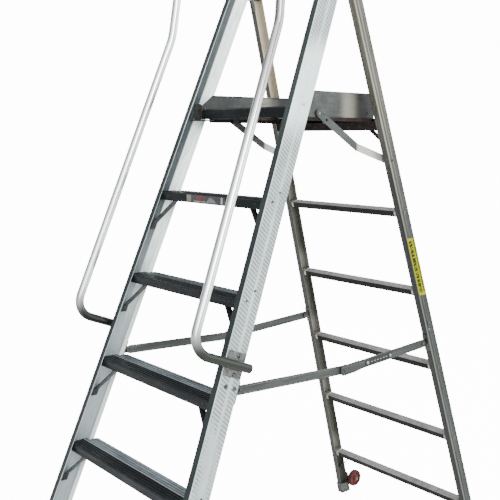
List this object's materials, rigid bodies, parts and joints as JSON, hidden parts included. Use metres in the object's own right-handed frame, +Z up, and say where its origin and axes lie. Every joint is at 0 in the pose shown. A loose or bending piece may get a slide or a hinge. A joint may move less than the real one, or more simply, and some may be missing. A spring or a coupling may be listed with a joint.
{
  "type": "platform step ladder",
  "caption": "Folding step ladder with ribbed treads between tapering channel stiles, a guarded platform, a hinged rear frame with rungs, side handrails and tilt wheels.",
  "frame": {"origin": "on the floor, at the middle of the ladder's box", "axes": "+Z up; the climbing side faces -Y and the rear frame stands at +Y; +X is the climber's right"},
  "size_m": [0.7736, 1.714, 2.6389],
  "materials": {
    "aluminium": "mill finish extruded",
    "bright_tube": "polished tube",
    "tread": "dark satin ribbed",
    "steel": "dull plated",
    "dark_steel": "dark painted",
    "shoe": "matte moulded",
    "wheel": "moulded"
  },
  "bodies": {
    "front_frame": {"front_stile_left": "aluminium", "front_shoe_left": "shoe", "platform_bracket_left": "dark_steel", "handrail_left": "bright_tube", "hinge_front_leaf_left": "steel", "stay_front_bracket_left": "steel", "tread_brace_1_left": "dark_steel", "tread_brace_2_left": "dark_steel", "tread_brace_3_left": "dark_steel", "tread_brace_4_left": "dark_steel", "tread_brace_5_left": "dark_steel", "front_stile_right": "aluminium", "front_shoe_right": "shoe", "platform_bracket_right": "dark_steel", "handrail_right": "bright_tube", "hinge_front_leaf_right": "steel", "stay_front_bracket_right": "steel", "tread_brace_1_right": "dark_steel", "tread_brace_2_right": "dark_steel", "tread_brace_3_right": "dark_steel", "tread_brace_4_right": "dark_steel", "tread_brace_5_right": "dark_steel", "tread_1": "tread", "tread_2": "tread", "tread_3": "tread", "tread_4": "tread", "tread_5": "tread", "head_rail": "aluminium"},
    "rear_frame": {"rear_leg_left": "aluminium", "rear_shoe_left": "shoe", "strut_stud_left": "steel", "wheel_bracket_left": "steel", "hinge_rear_leaf_left": "steel", "stay_rear_bracket_left": "steel", "foot_brace_left": "dark_steel", "rear_leg_right": "aluminium", "rear_shoe_right": "shoe", "strut_stud_right": "steel", "wheel_bracket_right": "steel", "hinge_rear_leaf_right": "steel", "stay_rear_bracket_right": "steel", "foot_brace_right": "dark_steel", "rung_1": "aluminium", "rung_2": "aluminium", "rung_3": "aluminium", "rung_4": "aluminium", "rung_5": "aluminium", "rear_beam": "dark_steel"},
    "platform": {"deck": "tread", "toe_board_left": "aluminium", "toe_board_right": "aluminium"},
    "strut_left": {"strut_left": "steel"},
    "stay_front_link_left": {"stay_front_link_left": "steel"},
    "stay_rear_link_left": {"stay_rear_link_left": "steel"},
    "wheel_left": {"wheel_left": "wheel"},
    "strut_right": {"strut_right": "steel"},
    "stay_front_link_right": {"stay_front_link_right": "steel"},
    "stay_rear_link_right": {"stay_rear_link_right": "steel"},
    "wheel_right": {"wheel_right": "wheel"}
  },
  "joints": [
    {"name": "rear_fold", "type": "hinge", "parent": "front_frame", "child": "rear_frame", "pos_m": [0, 0.10553, 2.142], "axis": [-1, 0, 0], "range_deg": [0, 36]},
    {"name": "platform_tilt", "type": "hinge", "parent": "front_frame", "child": "platform", "pos_m": [0, -0.099, 1.741], "axis": [1, 0, 0], "range_deg": [0, 67.8]},
    {"name": "strut_pivot_left", "type": "hinge", "parent": "rear_frame", "child": "strut_left", "pos_m": [-0.252, 0.309, 1.564], "axis": [-1, 0, 0], "range_deg": [0, 40.9]},
    {"name": "stay_front_pivot_left", "type": "hinge", "parent": "front_frame", "child": "stay_front_link_left", "pos_m": [-0.3055, -0.38678, 0.895], "axis": [1, 0, 0], "range_deg": [0, 67.6]},
    {"name": "stay_rear_pivot_left", "type": "hinge", "parent": "rear_frame", "child": "stay_rear_link_left", "pos_m": [-0.3105, 0.47439, 0.895], "axis": [-1, 0, 0], "range_deg": [0, 76.2]},
    {"name": "wheel_axle_left", "type": "hinge", "parent": "rear_frame", "child": "wheel_left", "pos_m": [-0.326, 0.819, 0.068], "axis": [1, 0, 0], "continuous": true},
    {"name": "strut_pivot_right", "type": "hinge", "parent": "rear_frame", "child": "strut_right", "pos_m": [0.252, 0.309, 1.564], "axis": [-1, 0, 0], "range_deg": [0, 40.9]},
    {"name": "stay_front_pivot_right", "type": "hinge", "parent": "front_frame", "child": "stay_front_link_right", "pos_m": [0.3055, -0.38678, 0.895], "axis": [1, 0, 0], "range_deg": [0, 67.6]},
    {"name": "stay_rear_pivot_right", "type": "hinge", "parent": "rear_frame", "child": "stay_rear_link_right", "pos_m": [0.3105, 0.47439, 0.895], "axis": [-1, 0, 0], "range_deg": [0, 76.2]},
    {"name": "wheel_axle_right", "type": "hinge", "parent": "rear_frame", "child": "wheel_right", "pos_m": [0.326, 0.819, 0.068], "axis": [1, 0, 0], "continuous": true}
  ],
  "couplings": [
    {"joint": "platform_tilt", "follows": "rear_fold", "ratio": 1.8833},
    {"joint": "strut_pivot_left", "follows": "rear_fold", "ratio": 1.1361},
    {"joint": "stay_front_pivot_left", "follows": "rear_fold", "ratio": 1.8778},
    {"joint": "stay_rear_pivot_left", "follows": "rear_fold", "ratio": 2.1167},
    {"joint": "strut_pivot_right", "follows": "rear_fold", "ratio": 1.1361},
    {"joint": "stay_front_pivot_right", "follows": "rear_fold", "ratio": 1.8778},
    {"joint": "stay_rear_pivot_right", "follows": "rear_fold", "ratio": 2.1167}
  ]
}
